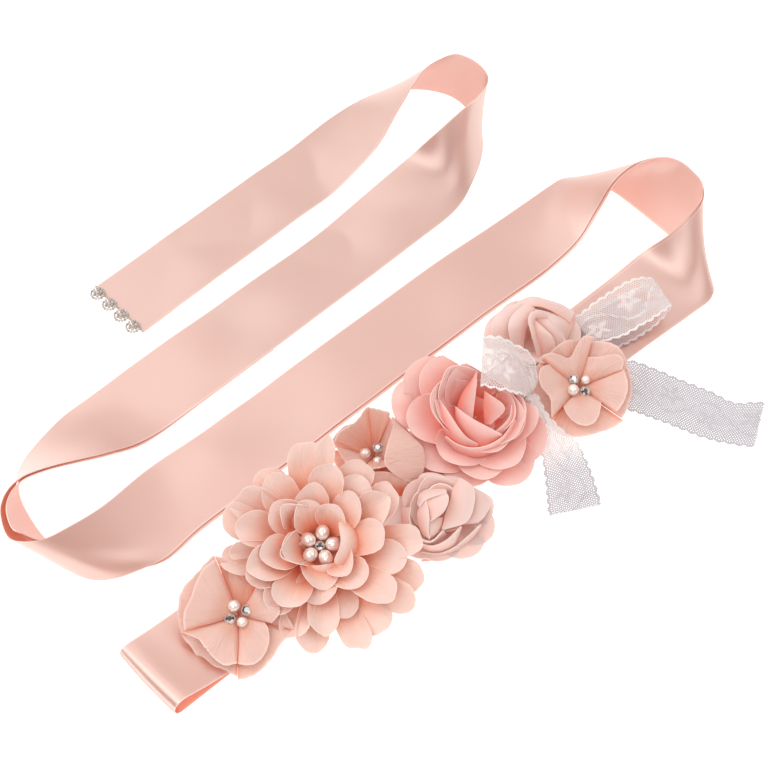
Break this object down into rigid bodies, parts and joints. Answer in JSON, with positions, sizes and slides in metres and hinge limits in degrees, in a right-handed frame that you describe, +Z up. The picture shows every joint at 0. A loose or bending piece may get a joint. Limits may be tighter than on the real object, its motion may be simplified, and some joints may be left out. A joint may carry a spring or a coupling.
{
  "type": "satin sash",
  "caption": "Narrow satin ribbon sash laid in a zig-zag, trimmed with fabric flowers, pearls, cut stones, a lace bow and a beaded end, worn tied at the waist.",
  "frame": {"origin": "middle of the outline, on the surface that the sash lies on", "axes": "+Z up from that surface; -Y towards the viewer of the picture; +X to the viewer's right"},
  "size_m": [0.3621, 0.377, 0.0417],
  "materials": {
    "satin": "peach satin",
    "chiffon": "peach chiffon",
    "rose_cloth": "salmon chiffon",
    "rosette_cloth": "peach satin",
    "lace": "white net lace",
    "pearl": "cream pearl",
    "stone": "clear cut stone, foiled, in a silver cup"
  },
  "bodies": {
    "root": {"ribbon_tail": "satin", "ribbon_top_turn": "satin", "ribbon_second_run": "satin", "ribbon_left_turn": "satin", "ribbon_third_run": "satin", "ribbon_right_turn": "satin", "ribbon_flower_run": "satin", "under_second_run": "satin", "under_left_turn": "satin", "under_third_run": "satin", "under_right_turn": "satin", "under_flower_run": "satin", "chiffon_left_ring_1": "chiffon", "chiffon_left_ring_2": "chiffon", "dahlia_ring_1": "chiffon", "dahlia_ring_2": "chiffon", "dahlia_ring_3": "chiffon", "dahlia_ring_4": "chiffon", "dahlia_ring_5": "chiffon", "chiffon_middle_ring_1": "chiffon", "chiffon_middle_ring_2": "chiffon", "rose_ring_1": "rose_cloth", "rose_ring_2": "rose_cloth", "rose_ring_3": "rose_cloth", "rose_ring_4": "rose_cloth", "rosette_low_ring_1": "rosette_cloth", "rosette_low_ring_2": "rosette_cloth", "rosette_low_ring_3": "rosette_cloth", "rosette_high_ring_1": "rosette_cloth", "rosette_high_ring_2": "rosette_cloth", "rosette_high_ring_3": "rosette_cloth", "chiffon_right_ring_1": "chiffon", "chiffon_right_ring_2": "chiffon", "chiffon_left_pearl_1": "pearl", "chiffon_left_pearl_4": "pearl", "dahlia_pearl_2": "pearl", "dahlia_pearl_3": "pearl", "dahlia_pearl_4": "pearl", "dahlia_pearl_5": "pearl", "dahlia_pearl_6": "pearl", "chiffon_middle_pearl_1": "pearl", "chiffon_middle_pearl_3": "pearl", "chiffon_right_pearl_2": "pearl", "chiffon_right_pearl_3": "pearl", "chiffon_left_stone_2": "stone", "chiffon_left_stone_3": "stone", "dahlia_stone_1": "stone", "chiffon_middle_stone_2": "stone", "chiffon_right_stone_1": "stone", "chiffon_right_stone_4": "stone", "bow_tail_right": "lace", "bow_tail_down": "lace", "bow_loop_right": "lace", "bow_loop_left": "lace", "bow_knot": "lace", "end_edging": "lace"}
  },
  "joints": []
}
